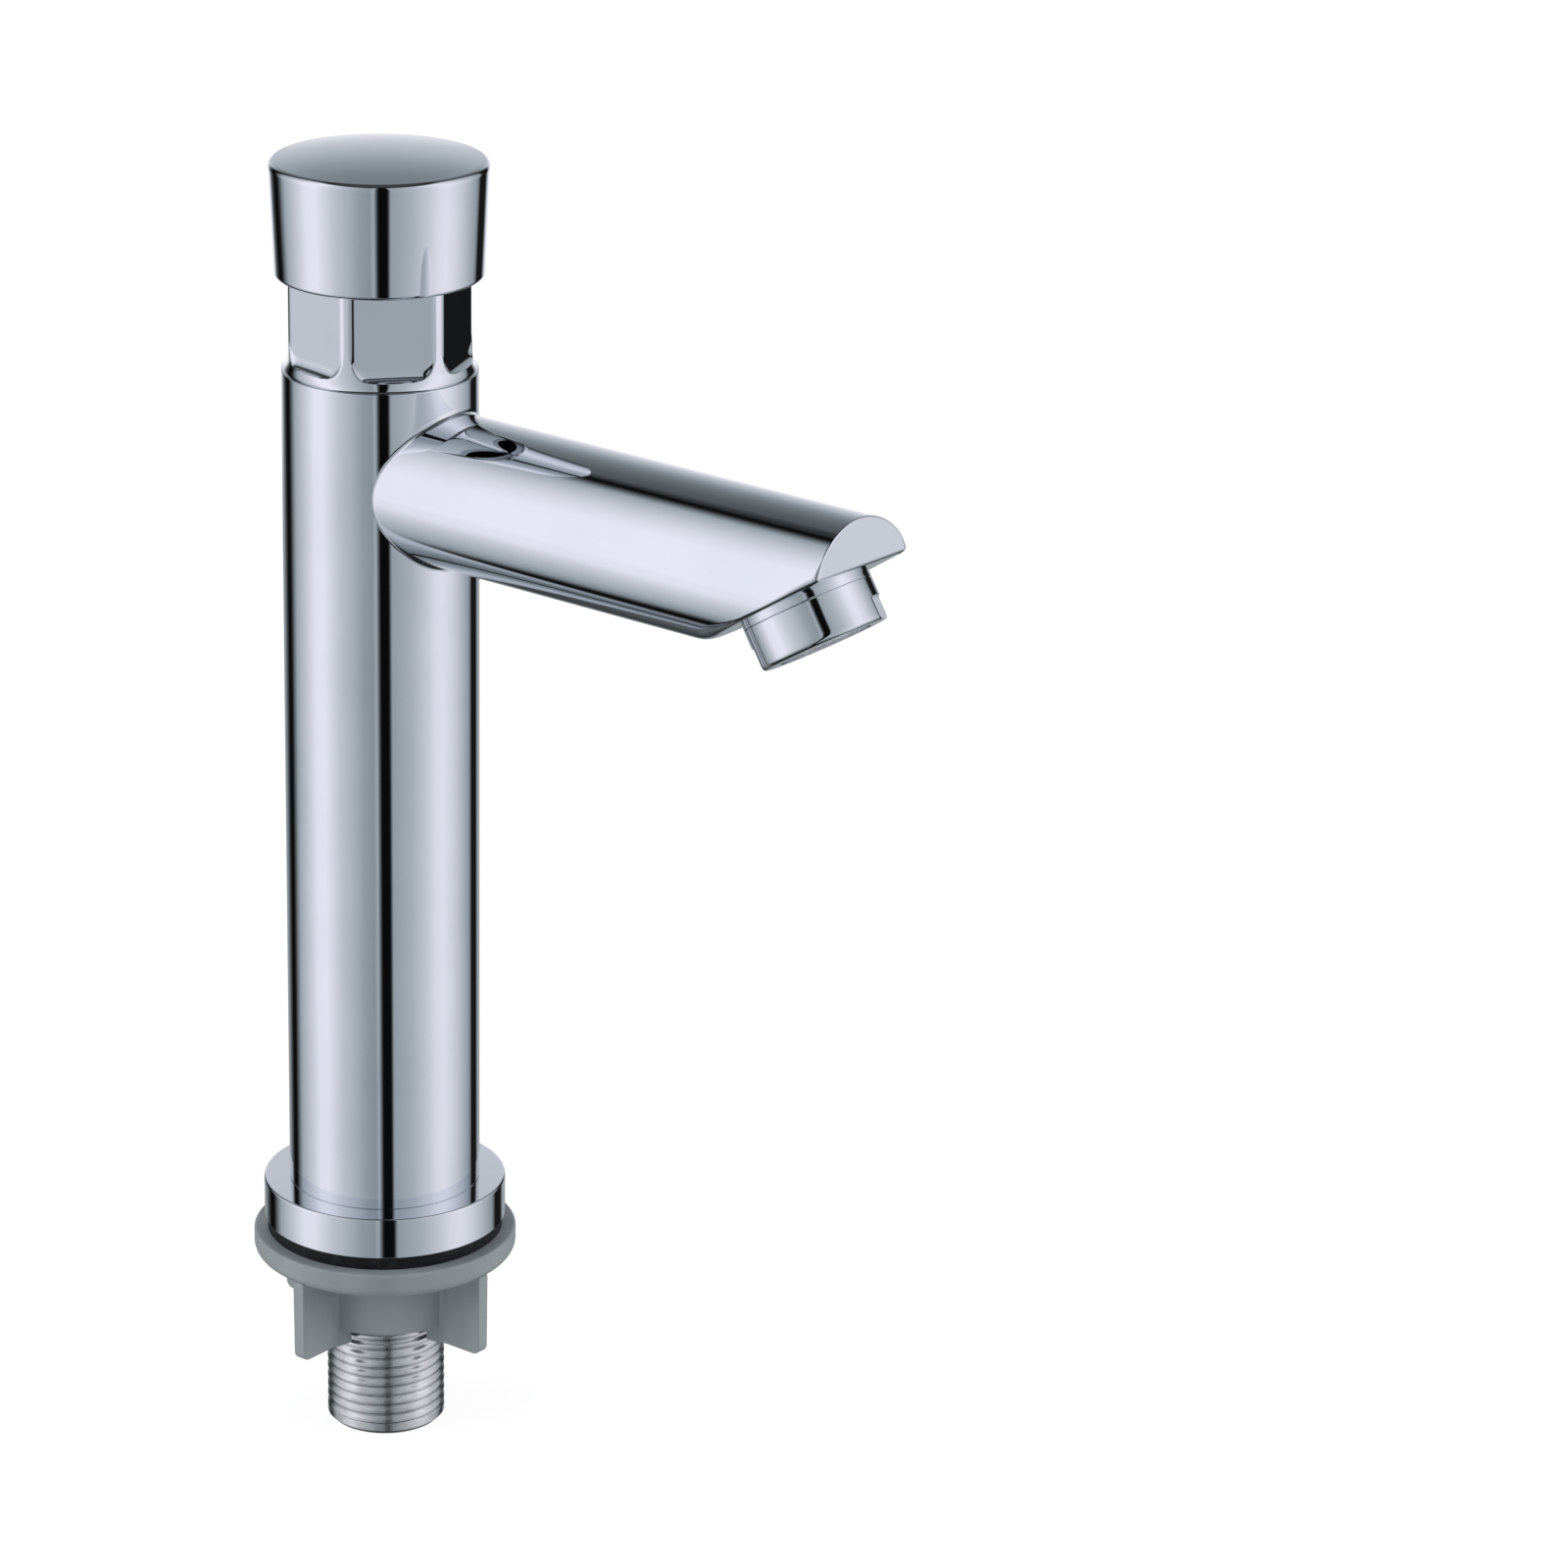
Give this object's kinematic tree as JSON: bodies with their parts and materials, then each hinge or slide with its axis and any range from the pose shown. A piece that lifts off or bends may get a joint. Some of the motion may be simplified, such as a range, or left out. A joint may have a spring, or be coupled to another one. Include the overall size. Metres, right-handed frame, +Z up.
{
  "type": "push-button pillar tap",
  "caption": "Tall deck-mounted pillar tap with a push cap, a straight round spout with a slanting underside, and a threaded shank with a winged backnut.",
  "frame": {"origin": "centre of the gasket's underside, where the tap stands on the deck, on the pillar's axis", "axes": "+Z up along the pillar, -Y over the basin along the spout, +X to the side"},
  "size_m": [0.0466, 0.1301, 0.2335],
  "materials": {
    "chrome": "polished chrome plate",
    "bare_steel": "machined steel",
    "brass": "machined brass",
    "black_rubber": "matt black rubber",
    "grey_plastic": "moulded grey plastic",
    "white_plastic": "moulded white plastic",
    "blue_plastic": "moulded blue plastic"
  },
  "bodies": {
    "tap_body": {"pillar_body": "chrome", "base_flange": "chrome", "base_gasket": "black_rubber", "threaded_shank": "bare_steel", "shank_seal_ring": "black_rubber", "inlet_strainer": "white_plastic", "spout": "chrome", "aerator_housing": "chrome", "aerator_washer": "black_rubber", "aerator_grid": "white_plastic", "aerator_mixer": "white_plastic", "flow_disc": "blue_plastic", "aerator_filter": "white_plastic", "bonnet": "chrome", "bonnet_seal_ring": "black_rubber", "stem_guide_bush": "white_plastic", "stem_seal_ring": "black_rubber", "stem_wiper": "black_rubber", "timing_cylinder": "white_plastic", "cylinder_seal_ring": "black_rubber", "metering_pin": "bare_steel", "return_spring": "bare_steel", "spring_washer": "bare_steel", "valve_seat": "brass", "seat_gasket": "black_rubber"},
    "push_button": {"push_cap": "chrome", "cap_lock_nut": "bare_steel", "stem": "bare_steel", "timing_piston": "white_plastic", "piston_cup_seal": "black_rubber", "piston_clip": "bare_steel", "valve_cup": "brass", "valve_washer": "black_rubber", "valve_nut": "bare_steel"},
    "backnut": {"backnut": "grey_plastic"}
  },
  "joints": [
    {"name": "button_press", "type": "slide", "parent": "tap_body", "child": "push_button", "axis": [0, 0, -1], "range_m": [0, 0.008], "stiffness_N_per_m": 1200, "springref_m": -0.01, "deforming": ["return_spring"]},
    {"name": "backnut_travel", "type": "slide", "parent": "tap_body", "child": "backnut", "axis": [0, 0, -1], "range_m": [0, 0.018]}
  ]
}
